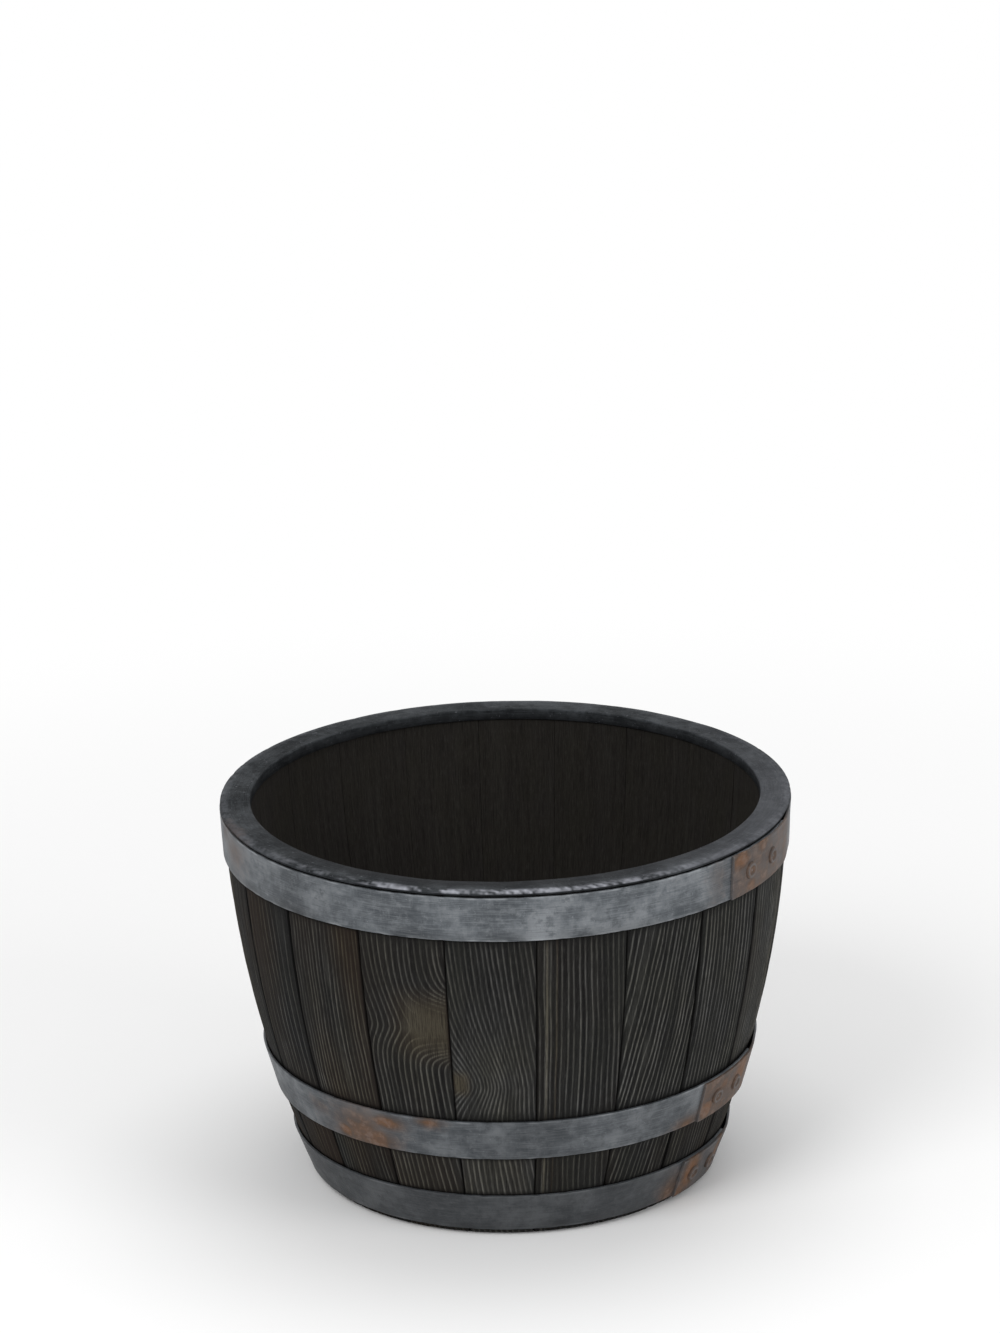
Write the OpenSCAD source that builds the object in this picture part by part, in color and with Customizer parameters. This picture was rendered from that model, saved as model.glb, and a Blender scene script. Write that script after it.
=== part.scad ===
// Half barrel planter, coopered from oak staves inside three riveted steel hoops.
// The origin is on the floor at the centre of the base, +Z is up and the front faces -Y.
// Directions round the barrel are angles from the front towards +X.

/* [Barrel] */
// Diameter over the staves at their top ends
rim_d = 495.6; // [440:0.1:560]
// Diameter over the staves at their feet
base_d = 352; // [300:1:400]
// Height of the staves
stave_h = 339.2; // [280:0.1:400]
// Radius of the bow that each stave is bent to
bow_r = 970; // [800:10:1600]

/* [Staves] */
// Number of staves round the barrel
stave_count = 20; // [16:1:24]
// Thickness of a stave
stave_t = 22; // [18:0.5:30]
// Gap between two neighbouring staves, measured at the rim
stave_gap = 0.4; // [0.2:0.1:1]
// Depth of the eased edge on each long side of a stave
stave_arris = 1.2; // [0.6:0.1:2]
// Direction of the first joint between staves
first_joint = 5.5; // [0:0.1:12]
// Angles that the first three staves take up
first_stave_angles = [18.6, 18.1, 18.7]; // [16:0.1:20]
// Angles that the last four staves take up
last_stave_angles = [17.3, 18.6, 18.4, 18.2]; // [16:0.1:20]
// Width of the foot that a stave stands on
foot_w = 15; // [12:0.5:18]
// Height of the bevel inside the foot
foot_bevel = 14; // [8:1:20]
// Size of the worn edge outside the foot
foot_arris = 1.5; // [0.5:0.1:3]

/* [Head] */
// Height of the underside of the head above the floor
head_z = 35; // [28:1:50]
// Thickness of the head boards
head_t = 18; // [15:1:24]
// Number of boards in the head
board_count = 5; // [3:2:7]
// Gap between two boards of the head
board_gap = 0.4; // [0.2:0.1:1]
// Depth of the croze, the groove in the staves that holds the head
croze_d = 5; // [4:0.5:7]
// Width of the croze
croze_w = 7; // [6:0.5:9]
// Gap between the edge of the head and the croze on every side
croze_clear = 0.3; // [0.2:0.05:0.5]
// Width of the bevel under the rim of the head
head_bevel_low = 24; // [18:1:30]
// Width of the bevel on top of the rim of the head
head_bevel_top = 10; // [6:1:14]
// Width of the flat tongue between the bevels and the stave
tongue_land = 2; // [1:0.5:3]

/* [Head dowels] */
// Diameter of the dowels between the boards
dowel_d = 8; // [6:1:10]
// Length of a dowel
dowel_l = 36; // [24:2:44]
// Gap round a dowel in its hole
dowel_clear = 0.1; // [0.05:0.05:0.2]
// Gap past each end of a dowel
dowel_end_gap = 1; // [0.5:0.5:2]
// Distance of the dowels from the middle of a joint
dowel_y = 82; // [78:1:95]

/* [Drain holes] */
// Diameter of a drain hole
drain_d = 14; // [10:1:18]
// Distance of the outer drain holes from the middle of their board
drain_y = 58; // [40:1:62]

/* [Hoops] */
// Width of the hoop strip
hoop_w = 39.6; // [30:0.2:46]
// Thickness of the hoop strip
hoop_t = 2.3; // [1.5:0.1:3]
// Least gap between a hoop and the staves
hoop_clear = 0.2; // [0.1:0.05:0.4]
// Height of the lower edge of the bottom hoop
bottom_hoop_z = 6.8; // [3:0.1:12]
// Height of the lower edge of the middle hoop
middle_hoop_z = 84.7; // [70:0.1:110]
// Gap between the rim ring and the top hoop
top_hoop_gap = 1; // [0.5:0.1:4]
// Direction of the outer end of the strip
lap_from = 49.5; // [40:0.5:70]
// Angle over which the two ends of the strip overlap
lap_angle = 23; // [18:1:30]
// Angle between the outer end of the strip and the first rivet
rivet_inset = 6; // [5:0.5:9]
// Angle between the two rivets of a hoop
rivet_step = 9.2; // [8:0.1:12]
// How deep the straight stretch before the lap starts inside the strip
joggle_sink = 0.05; // [0.03:0.01:0.1]

/* [Rivets] */
// Diameter of a rivet head
rivet_head_d = 14.6; // [10:0.2:16]
// Height of a rivet head
rivet_head_h = 2.4; // [1.5:0.1:3.5]
// Diameter of the dish in a rivet head
rivet_dish_d = 9; // [6:0.2:9.6]
// Depth of the dish in a rivet head
rivet_dish = 1; // [0.5:0.1:1.4]
// Diameter of the nub in the dish
rivet_nub_d = 3.2; // [2:0.2:4]
// Diameter of a rivet's shank
rivet_shank_d = 6; // [5:0.5:7]
// Depth of the countersink that a rivet's tail is closed into
rivet_tail = 1.2; // [0.8:0.1:1.6]
// Gap round a rivet in its hole
rivet_clear = 0.1; // [0.05:0.05:0.2]

/* [Rim ring] */
// Thickness of the ring over the stave ends
ring_t = 4.2; // [3.5:0.1:7]
// Distance that the ring stands out past the staves
ring_over = 2.2; // [1:0.1:4]
// Radius of the ring's crowned outer edge
ring_crown = 3; // [2.8:0.1:5]
// Thickness of the ring's skirt inside the staves
skirt_t = 2; // [1.5:0.1:4]
// Depth of the skirt below the stave ends
skirt_h = 6; // [4:0.5:12]
// Gap between the ring and the staves
ring_clear = 0.3; // [0.1:0.05:0.5]

/* [Hidden] */
oak = "#37322c";
steel = "#62676c";
rivet_steel = "#6d6158";
ring_grey = "#4c5055";
head_wood = "#4a4138";
dowel_wood = "#8a7350";

// Margin by which a cutting shape runs past what it cuts
past = 1;
// Fineness of the turned shapes and of the long bow
$fn = 360;
bow_fn = 720;

rim_r = rim_d / 2;
base_r = base_d / 2;

// The bow is the arc of radius bow_r through the outer edges of the foot and the rim
chord = sqrt(pow(rim_r - base_r, 2) + pow(stave_h, 2));
chord_to_centre = sqrt(pow(bow_r, 2) - pow(chord / 2, 2));
bow_x = (rim_r + base_r) / 2 - chord_to_centre * stave_h / chord;
bow_z = stave_h / 2 + chord_to_centre * (rim_r - base_r) / chord;

// Radius of the barrel at a height, at a depth below the outer face of the staves
function face_r(z, depth = 0) = bow_x + sqrt(pow(bow_r - depth, 2) - pow(z - bow_z, 2));

// Angle about Z of a direction that is given from the front
function turned(direction) = direction - 90;

// Staves
function total(list, from = 0) = from == len(list) ? 0 : list[from] + total(list, from + 1);
like_staves = stave_count - len(first_stave_angles) - len(last_stave_angles);
other_stave_angle = (360 - total(first_stave_angles) - total(last_stave_angles)) / like_staves;
function stave_angle(i) =
    i <= len(first_stave_angles) ? first_stave_angles[i - 1]
    : i <= stave_count - len(last_stave_angles) ? other_stave_angle
    : last_stave_angles[i - 1 - stave_count + len(last_stave_angles)];
function joint_at(i) = i == 1 ? first_joint : joint_at(i - 1) + stave_angle(i - 1);
stave_gap_angle = 2 * asin(stave_gap / 2 / rim_r);
bow_low = asin(bow_z / bow_r) + 1;
bow_high = asin((bow_z - stave_h) / bow_r) - 1;

// Head, whose edge fills the croze but for its clearance
croze_z = head_z + head_t / 2;
head_r = face_r(croze_z, stave_t) + croze_d - croze_clear;
tongue_t = croze_w - 2 * croze_clear;
tongue_r = face_r(croze_z - croze_w / 2, stave_t) - tongue_land;
board_pitch = 2 * head_r / board_count;

// Rim ring
ring_z = stave_h + ring_clear;
ring_r = rim_r + ring_over;
skirt_r = face_r(stave_h - skirt_h, stave_t) - ring_clear;

// Hoops, each a cone that the barrel has been driven into
top_hoop_high = ring_z - top_hoop_gap;
hoop_bow = pow(hoop_w, 2) / (8 * bow_r);
hoop_seat = hoop_clear + hoop_bow;
rivet_hole_r = rivet_shank_d / 2 + rivet_clear;

// Lean of a hoop from its lower edge, found from the bow at its middle
function lean_at(z) = asin((bow_z - z) / bow_r);
function hoop_lean(low) = lean_at(low + hoop_w * cos(lean_at(low)) / 2);
function hoop_low_r(low) = face_r(low) + hoop_seat;
top_hoop_z = top_hoop_high - hoop_w * cos(lean_at(top_hoop_high - hoop_w / 2));

function two_digits(i) = str(i < 10 ? "0" : "", i);
function stave_name(i) = str("stave_", two_digits(i));
function board_name(i) = str("head_board_", i);

// Section through a stave: two arcs of the bow, the croze and the bevelled foot
module stave_section() {
    foot_in = [face_r(0) - foot_w, 0];
    bevel_top = [face_r(foot_bevel, stave_t), foot_bevel];
    bevel_run = bevel_top - foot_in;
    difference() {
        intersection() {
            translate([bow_x, bow_z])
                circle(r = bow_r, $fn = bow_fn);
            square([ring_r + past, stave_h]);
        }
        translate([bow_x, bow_z])
            circle(r = bow_r - stave_t, $fn = bow_fn);
        translate([face_r(croze_z, stave_t) - stave_t / 2, croze_z - croze_w / 2])
            square([stave_t / 2 + croze_d, croze_w]);
        polygon([
            foot_in - bevel_run / foot_bevel,
            bevel_top + bevel_run / foot_bevel,
            bevel_top + [-stave_t, past],
            foot_in + [-2 * stave_t, -past],
        ]);
        polygon([
            [face_r(0) - foot_arris - past, -past],
            [face_r(0) + past, foot_arris + past],
            [face_r(0) + past, -past],
        ]);
    }
}

// V groove that eases the edges along the joint in one direction, bent round the bow's centre
module joint_groove(direction) {
    rotate([0, 0, turned(direction)])
        translate([bow_x, 0, bow_z])
            rotate([90, bow_low, 0])
                rotate_extrude(angle = bow_low - bow_high, $fn = bow_fn)
                    polygon([
                        [bow_r - stave_arris, 0],
                        [bow_r + past, -stave_arris - past],
                        [bow_r + past, stave_arris + past],
                    ]);
}

// One stave: a wedge of the barrel between two joints
module stave(i) {
    from = joint_at(i);
    angle = stave_angle(i);
    color(oak)
        difference() {
            rotate([0, 0, turned(from) + stave_gap_angle / 2])
                rotate_extrude(angle = angle - stave_gap_angle)
                    stave_section();
            joint_groove(from);
            joint_groove(from + angle);
        }
}

// Section through the head: a disc bevelled on both sides to the tongue that sits in the croze
module head_section() {
    polygon([
        [0, head_z],
        [tongue_r - head_bevel_low, head_z],
        [tongue_r, croze_z - tongue_t / 2],
        [head_r, croze_z - tongue_t / 2],
        [head_r, croze_z + tongue_t / 2],
        [tongue_r, croze_z + tongue_t / 2],
        [tongue_r - head_bevel_top, head_z + head_t],
        [0, head_z + head_t],
    ]);
}

// Places what it is given at both dowels of every joint of the head
module at_dowels() {
    for (joint = [1:board_count - 1])
        for (side = [-1, 1])
            translate([board_pitch * (joint - board_count / 2), side * dowel_y, croze_z])
                rotate([0, 90, 0])
                    children();
}

// Drain holes: one in the middle of the head and two in the board on either side of it
module drain_holes() {
    for (place = [[0, 0], [-1, -1], [-1, 1], [1, -1], [1, 1]])
        translate([place.x * board_pitch, place.y * drain_y, head_z - past])
            cylinder(d = drain_d, h = head_t + 2 * past);
}

// One board of the head, counted from -X
module head_board(i) {
    left = board_pitch * (i - 1 - board_count / 2);
    gap_left = i == 1 ? -past : board_gap / 2;
    gap_right = i == board_count ? -past : board_gap / 2;
    color(head_wood)
        difference() {
            intersection() {
                rotate_extrude()
                    head_section();
                translate([left + gap_left, -head_r - past, head_z - past])
                    cube([board_pitch - gap_left - gap_right, 2 * (head_r + past), head_t + 2 * past]);
            }
            drain_holes();
            at_dowels()
                cylinder(d = dowel_d + 2 * dowel_clear, h = dowel_l + 2 * dowel_end_gap, center = true);
        }
}

// The dowels that line up the boards of the head
module head_dowels() {
    color(dowel_wood)
        at_dowels()
            cylinder(d = dowel_d, h = dowel_l, center = true);
}

// Section through a hoop between two layers counted in strip thicknesses.
// Its edges are square to its face, and past each edge it is longer by extra.
module hoop_section(low, inner, outer, extra = 0) {
    lean = hoop_lean(low);
    along = [sin(lean), cos(lean)];
    out = [cos(lean), -sin(lean)];
    foot = [hoop_low_r(low), low] - along * extra;
    head = foot + along * (hoop_w + 2 * extra);
    polygon([
        foot + out * inner * hoop_t,
        foot + out * outer * hoop_t,
        head + out * outer * hoop_t,
        head + out * inner * hoop_t,
    ]);
}

// Part of a hoop's ring between two directions
module hoop_arc(low, from, to, inner, outer) {
    rotate([0, 0, turned(from)])
        rotate_extrude(angle = to - from)
            hoop_section(low, inner, outer, past);
}

// Straight stretch where the strip leaves its own ring and climbs over the hidden end
module hoop_joggle(low, hidden_end) {
    lean = hoop_lean(low);
    middle_r = hoop_low_r(low) + sin(lean) * hoop_w / 2 + hoop_t * cos(lean) - joggle_sink;
    climb = acos(middle_r / (middle_r + hoop_t + joggle_sink));
    run = middle_r * sin(climb + 2);
    rotate([0, 0, turned(hidden_end + climb)])
        translate([middle_r, 0, low + cos(lean) * hoop_w / 2 - hoop_t * sin(lean)])
            rotate([0, lean, 0])
                translate([-hoop_t, -run, -hoop_w / 2 - 2 * past])
                    cube([hoop_t, run + past, hoop_w + 4 * past]);
}

// Places what it is given at a hoop's rivets, with +Z out of the barrel from the strip's inner face
module at_rivets(low) {
    lean = hoop_lean(low);
    for (n = [0, 1])
        rotate([0, 0, turned(lap_from + rivet_inset + n * rivet_step)])
            translate([hoop_low_r(low) + sin(lean) * hoop_w / 2, 0, low + cos(lean) * hoop_w / 2])
                rotate([0, 90 + lean, 0])
                    children();
}

// Hole for a rivet through both layers, countersunk inside for its tail
module rivet_hole() {
    translate([0, 0, -past])
        cylinder(r = rivet_hole_r, h = 2 * hoop_t + 2 * past);
    translate([0, 0, -past])
        cylinder(r1 = rivet_hole_r + rivet_tail + past, r2 = rivet_hole_r, h = rivet_tail + past);
}

// A hoop: one strip bent to a cone, whose ends overlap and are riveted together
module hoop(low) {
    hidden_end = lap_from + lap_angle;
    lean = hoop_lean(low);
    climb = acos(1 - (hoop_t + joggle_sink) / (hoop_low_r(low) + sin(lean) * hoop_w / 2 + 2 * hoop_t));
    color(steel)
        difference() {
            intersection() {
                rotate_extrude()
                    hoop_section(low, 0, 2);
                union() {
                    hoop_arc(low, hidden_end + climb - 0.5, lap_from + lap_angle / 2 + 360, -1, 1);
                    hoop_joggle(low, hidden_end);
                    hoop_arc(low, lap_from, hidden_end, -1, 3);
                }
            }
            at_rivets(low)
                rivet_hole();
        }
}

// A rivet: a dished head with a nub, a shank through both layers and a closed tail
module rivet() {
    head_r = rivet_head_d / 2;
    dish_r = rivet_dish_d / 2;
    nub_r = rivet_nub_d / 2;
    seat = 2 * hoop_t + rivet_clear / 2;
    top = seat + rivet_head_h;
    dish_floor = top - rivet_dish;
    shank_r = rivet_shank_d / 2;
    rotate_extrude($fn = 48)
        polygon([
            [0, rivet_clear],
            [shank_r + rivet_tail - rivet_clear, rivet_clear],
            [shank_r, rivet_tail],
            [shank_r, seat],
            [head_r, seat],
            [head_r, seat + rivet_head_h * 0.3],
            [head_r - rivet_head_h * 0.3, top - rivet_head_h * 0.15],
            [head_r - rivet_head_h * 0.6, top],
            [dish_r, top],
            [dish_r - rivet_dish * 0.8, dish_floor],
            [nub_r + rivet_dish * 0.4, dish_floor],
            [nub_r, dish_floor + rivet_dish * 0.6],
            [nub_r * 0.5, dish_floor + rivet_dish * 0.9],
            [0, dish_floor + rivet_dish * 0.9],
        ]);
}

module hoop_rivets(low) {
    color(rivet_steel)
        at_rivets(low)
            rivet();
}

// The ring over the stave ends: a flat band with a crowned outer edge and a skirt inside the staves
module rim_ring() {
    color(ring_grey)
        rotate_extrude()
            union() {
                intersection() {
                    translate([skirt_r - skirt_t, ring_z])
                        square([ring_r - skirt_r + skirt_t, ring_t]);
                    union() {
                        translate([skirt_r - skirt_t - past, ring_z - past])
                            square([ring_r - ring_crown - skirt_r + skirt_t + past, ring_t + 2 * past]);
                        translate([ring_r - ring_crown, ring_z + ring_t / 2])
                            circle(r = ring_crown, $fn = 96);
                    }
                }
                translate([skirt_r - skirt_t, stave_h - skirt_h])
                    square([skirt_t, skirt_h + ring_clear + ring_t / 2]);
            }
}

for (i = [1:stave_count]) {
    stave(i);
}
for (i = [1:board_count]) {
    head_board(i);
}
head_dowels();
hoop(bottom_hoop_z);  // bottom_hoop
hoop(middle_hoop_z);  // middle_hoop
hoop(top_hoop_z);  // top_hoop
hoop_rivets(bottom_hoop_z);  // bottom_hoop_rivets
hoop_rivets(middle_hoop_z);  // middle_hoop_rivets
hoop_rivets(top_hoop_z);  // top_hoop_rivets
rim_ring();
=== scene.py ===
"""Half barrel planter: bowed staves, riveted hoops, a rim ring and a boarded head, dressed for close views.

Lengths are in millimetres until a mesh is made. Directions round the barrel are angles from the front
towards +X, and every piece is a surface worked out on a grid of two parameters.
"""
import math
import bpy
import mathutils
import numpy as np
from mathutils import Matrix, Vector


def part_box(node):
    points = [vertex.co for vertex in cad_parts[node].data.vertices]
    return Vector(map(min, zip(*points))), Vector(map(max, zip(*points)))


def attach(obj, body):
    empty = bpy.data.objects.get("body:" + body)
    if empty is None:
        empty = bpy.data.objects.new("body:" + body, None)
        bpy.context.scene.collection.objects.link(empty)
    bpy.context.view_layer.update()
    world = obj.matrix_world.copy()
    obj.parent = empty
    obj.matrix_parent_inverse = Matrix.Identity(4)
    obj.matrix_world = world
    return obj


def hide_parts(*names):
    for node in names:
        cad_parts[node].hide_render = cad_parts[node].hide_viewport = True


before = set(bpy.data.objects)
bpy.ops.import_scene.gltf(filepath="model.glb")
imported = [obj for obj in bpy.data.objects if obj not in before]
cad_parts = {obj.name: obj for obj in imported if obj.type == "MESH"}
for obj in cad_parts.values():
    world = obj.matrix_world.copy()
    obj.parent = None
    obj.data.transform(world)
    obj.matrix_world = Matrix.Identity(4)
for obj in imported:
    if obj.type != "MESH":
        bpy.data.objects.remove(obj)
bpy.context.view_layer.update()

MM = 0.001
PER_METRE = 1000

# Barrel: the bow of the staves is an arc of BOW_R through the outer edges of the foot and the rim
RIM_R = 247.8
BASE_R = 176.0
BOW_R = 970.0
STAVE_H = PER_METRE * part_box("stave_01")[1][2]
STAVE_T = 22.0
STAVE_GAP = 0.4
FOOT_W = 15.0
FOOT_BEVEL = 14.0
CROZE_Z = 44.0
CROZE_D = 5.0
CROZE_W = 7.0

# Joints: the first one, and the widths of the staves from it in degrees. The staves away from the front
# are alike
FIRST_JOINT = 5.5
STAVE_COUNT = 20
FIRST_WIDTHS = [18.6, 18.1, 18.7]
LAST_WIDTHS = [17.3, 18.6, 18.4, 18.2]

# Rim ring: its gap to the staves, and the thickness and depth of its skirt inside them
RING_CLEAR = 0.3
SKIRT_T = 2.0
SKIRT_H = 6.0

# Hoops: strip width, thickness, clearance to the staves and the lap that the rivets close
HOOP_W = 39.6
HOOP_T = 2.3
HOOP_CLEAR = 0.2
LAP_FROM = 49.5
LAP_ANGLE = 23.0
RIVET_INSET = 6.0
RIVET_STEP = 9.2

# Each soft field has a seed of its own: a hoop's seed here, a stave's number or the ring's, plus an offset
HOOP_SEEDS = {"bottom_hoop": 11, "middle_hoop": 21, "top_hoop": 31}
RING_SEED = 300

CHORD = math.hypot(RIM_R - BASE_R, STAVE_H)
CHORD_TO_CENTRE = math.sqrt(BOW_R ** 2 - (CHORD / 2) ** 2)
BOW_X = (RIM_R + BASE_R) / 2 - CHORD_TO_CENTRE * STAVE_H / CHORD
BOW_Z = STAVE_H / 2 + CHORD_TO_CENTRE * (RIM_R - BASE_R) / CHORD
ALIKE = STAVE_COUNT - len(FIRST_WIDTHS + LAST_WIDTHS)
ALIKE_WIDTH = (360 - sum(FIRST_WIDTHS + LAST_WIDTHS)) / ALIKE
WIDTHS = FIRST_WIDTHS + [ALIKE_WIDTH] * ALIKE + LAST_WIDTHS
JOINTS = FIRST_JOINT + np.cumsum([0] + WIDTHS)


def face_r(z, depth=0.0):
    """Radius of the barrel at height z, on the arc that lies depth inside the outer face."""
    return BOW_X + np.sqrt((BOW_R - depth) ** 2 - (z - BOW_Z) ** 2)


def lean(z):
    """Lean of the bow from upright at height z, in radians."""
    return np.arcsin((BOW_Z - z) / BOW_R)


def levels(name):
    """Heights of the lowest and the highest point of a CAD node."""
    return tuple(PER_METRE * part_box(name)[end][2] for end in (0, 1))


# Grid and mesh tools

# How many radians a soft field moves on over one of its scales, and the angle from which an edge is sharp
WAVE_RATE = 2.2
SHARP_ANGLE = 50


def smoothstep(low, high, value):
    """0 at low, 1 at high, and a cubic ease between them. With high below low it falls."""
    t = np.clip((value - low) / (high - low), 0, 1)
    return t * t * (3 - 2 * t)


def bump_at(value, centre, width):
    """A bell of height 1 round centre: e to the minus squared distance in widths."""
    return np.exp(-((value - centre) / width) ** 2)


def from_front(direction):
    """The same direction as an angle between -180 and 180 from the front."""
    return (direction + 180) % 360 - 180


def waves(seed, scales, count=14):
    """A soft random field: a sum of plane waves, with humps about as long as the scale on each axis."""
    rng = np.random.default_rng(seed)
    vectors = rng.normal(size=(count, len(scales))) / np.array(scales)
    phases = rng.uniform(0, 2 * math.pi, count)

    def field(*axes):
        total = 0
        for vector, phase in zip(vectors, phases):
            total = total + np.sin(sum(k * a for k, a in zip(vector, axes)) * WAVE_RATE + phase)
        return total / math.sqrt(count / 2)

    return field


def polar(direction, radius, z):
    """Points at a direction from the front, a radius from the axis and a height, on the last axis."""
    angle = np.radians(direction)
    return np.stack(np.broadcast_arrays(radius * np.sin(angle), -radius * np.cos(angle), z), axis=-1)


def sheet_faces(rows, columns, wrap_rows=False, wrap_columns=False):
    """Corners of the quads of a grid that is numbered row by row, as rows of four, with its wraps closed."""
    r = np.arange(rows if wrap_rows else rows - 1)
    c = np.arange(columns if wrap_columns else columns - 1)
    r, c = (g.ravel() for g in np.meshgrid(r, c, indexing="ij"))
    r2, c2 = (r + 1) % rows, (c + 1) % columns
    return np.stack([r * columns + c, r * columns + c2, r2 * columns + c2, r2 * columns + c], axis=1)


def sheet_uv(u, v, flip=False):
    """UV of every corner of the same quads, which a flip takes the other way round.

    A grid with a wrap has one more row or column of u and v.
    """
    corners = sheet_faces(*u.shape)
    return np.stack([u, v], axis=-1).reshape(-1, 2)[corners[:, ::-1] if flip else corners].reshape(-1, 2)


def run_round(section):
    """Distance from the first point of a closed section to each of its points, and back to the first."""
    step = np.hypot(*np.diff(np.concatenate([section, section[:1]]), axis=0).T)
    return np.concatenate([[0], np.cumsum(step)])


def fan(ring, hub, flip=False):
    """Triangles from a closed ring of corners to a hub."""
    after = np.roll(ring, -1)
    return np.stack([after, ring, np.full(len(ring), hub)] if flip else
                    [ring, after, np.full(len(ring), hub)], axis=1)


def end_fans(first, last, hub, flip=False):
    """Fans that close both ends of a tube, on two hubs whose numbers follow each other."""
    return np.concatenate([fan(first, hub, flip), fan(last, hub + 1, not flip)])


def tube_faces(rows, columns, flip=False):
    """Quads of a tube whose rows are rings, and the fans that close it on the two points after them."""
    quads = sheet_faces(rows, columns, wrap_columns=True)
    ring, hub = np.arange(columns), rows * columns
    return quads[:, ::-1] if flip else quads, end_fans(ring, ring + hub - columns, hub, not flip)


def make_piece(name, points, quads, triangles, uv, paint, material, slot, *nodes):
    """Turns arrays into a mesh object on the root, with its UV in metres and its paint per point."""
    mesh = bpy.data.meshes.new(name)
    flat = [quads.reshape(-1)] + ([triangles.reshape(-1)] if len(triangles) else [])
    corners = np.concatenate(flat).astype(np.int32)
    starts = np.concatenate([np.arange(len(quads)) * 4, len(quads) * 4 + np.arange(len(triangles)) * 3])
    mesh.vertices.add(len(points))
    mesh.vertices.foreach_set("co", (points * MM).astype(np.float32).ravel())
    mesh.loops.add(len(corners))
    mesh.loops.foreach_set("vertex_index", corners)
    mesh.polygons.add(len(starts))
    mesh.polygons.foreach_set("loop_start", starts.astype(np.int32))
    mesh.polygons.foreach_set("use_smooth", np.ones(len(starts), dtype=bool))
    mesh.update(calc_edges=True)
    mesh.uv_layers.new(name="Surface").data.foreach_set("uv", (uv * MM).astype(np.float32).ravel())
    colour = np.ones((len(points), 4), dtype=np.float32)
    colour[:, :3] = paint
    mesh.attributes.new("paint", "FLOAT_COLOR", "POINT").data.foreach_set("color", colour.ravel())
    mesh.set_sharp_from_angle(angle=math.radians(SHARP_ANGLE))
    mesh.materials.append(material)
    piece = bpy.data.objects.new(name, mesh)
    bpy.context.scene.collection.objects.link(piece)
    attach(piece, "root")
    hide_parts(*nodes)


# Materials

def linear(code):
    """An sRGB hex colour as linear red, green, blue and alpha."""
    parts = [int(code[i:i + 2], 16) / 255 for i in (1, 3, 5)]
    return [p / 12.92 if p <= 0.04045 else ((p + 0.055) / 1.055) ** 2.4 for p in parts] + [1.0]


def output(made):
    """The first output of a node that is in use."""
    return next(socket for socket in made.outputs if socket.enabled)


def add(tree, kind, inputs=None, stops=(), **settings):
    """Adds one node with its settings, and returns it.

    An input, by name or number, takes a node's first output in use, a socket, a value or a hex colour.
    The stops of a colour ramp are (place, hex colour or grey level).
    """
    made = tree.nodes.new("ShaderNode" + kind)
    for key, value in settings.items():
        setattr(made, key, value)
    for key, value in (inputs or {}).items():
        if isinstance(value, bpy.types.Node):
            value = output(value)
        if isinstance(value, bpy.types.NodeSocket):
            tree.links.new(value, made.inputs[key])
        else:
            made.inputs[key].default_value = linear(value) if isinstance(value, str) else value
    for number, (place, colour) in enumerate(stops):
        if number > 1:
            made.color_ramp.elements.new(place)
        stop = made.color_ramp.elements[number]
        stop.position = place
        stop.color = linear(colour) if isinstance(colour, str) else [colour] * 3 + [1]
    return made


def blotches(tree, place, across, along, detail=3.0, rough=0.55):
    """A mottled pattern on coordinates in metres, whose blotches are across by along millimetres."""
    scale = (PER_METRE / across, PER_METRE / along, PER_METRE / across)
    scaled = add(tree, "Mapping", {"Vector": place, "Scale": scale})
    return add(tree, "TexNoise", {"Vector": scaled, "Scale": 1.0, "Detail": detail, "Roughness": rough})


def washed(tree, colour, *washes):
    """Lays washes over a colour.

    Each is a pattern, two stops (level, amount) on it and the wash's own colour.
    """
    for pattern, start, end, tint in washes:
        amount = add(tree, "ValToRGB", {"Fac": pattern}, stops=(start, end))
        colour = add(tree, "Mix", {0: amount, 6: colour, 7: tint}, data_type="RGBA")
    return colour


def new_material(name):
    """An empty material with its shader: returns the material, its tree and the shader."""
    material = bpy.data.materials.new(name)
    material.use_nodes = True
    tree = material.node_tree
    tree.nodes.clear()
    shader = add(tree, "BsdfPrincipled")
    add(tree, "OutputMaterial", {"Surface": shader})
    return material, tree, shader


def finished(tree, shader, colour, roughness, height, bump_strength):
    """Wires a finish to its shader: colour, roughness and a relief of up to half a millimetre."""
    bump = add(tree, "Bump", {"Height": height, "Strength": bump_strength, "Distance": 0.5 * MM})
    for name, made in (("Base Color", colour), ("Roughness", roughness), ("Normal", bump)):
        tree.links.new(output(made), shader.inputs[name])


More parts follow.
